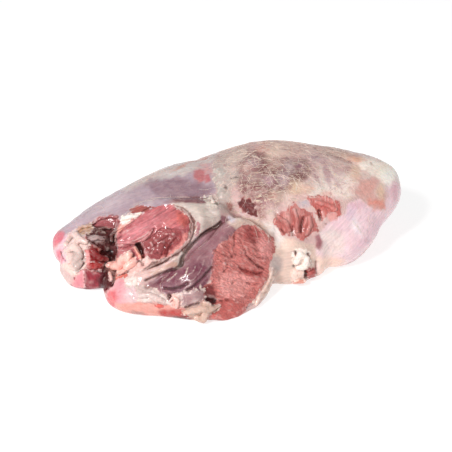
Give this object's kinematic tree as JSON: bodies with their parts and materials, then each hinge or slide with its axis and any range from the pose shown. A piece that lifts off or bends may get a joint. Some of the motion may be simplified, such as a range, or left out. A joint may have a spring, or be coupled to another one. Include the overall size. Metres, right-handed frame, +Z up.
{
  "type": "veal shoulder",
  "caption": "Raw boneless veal shoulder: a long domed cut of meat with a tapering shank end, knife-cut faces at the front and a flat underside.",
  "frame": {"origin": "middle of the piece's box, on the surface that it lies on", "axes": "+Z up, +X along the piece towards its thick end, -Y towards the cut front"},
  "size_m": [0.39, 0.264, 0.1128],
  "materials": {
    "raw_veal": "moist satin raw meat, from red lean to pale violet sheath and cream fat"
  },
  "bodies": {
    "root": {"veal_shoulder": "raw_veal"}
  },
  "joints": []
}
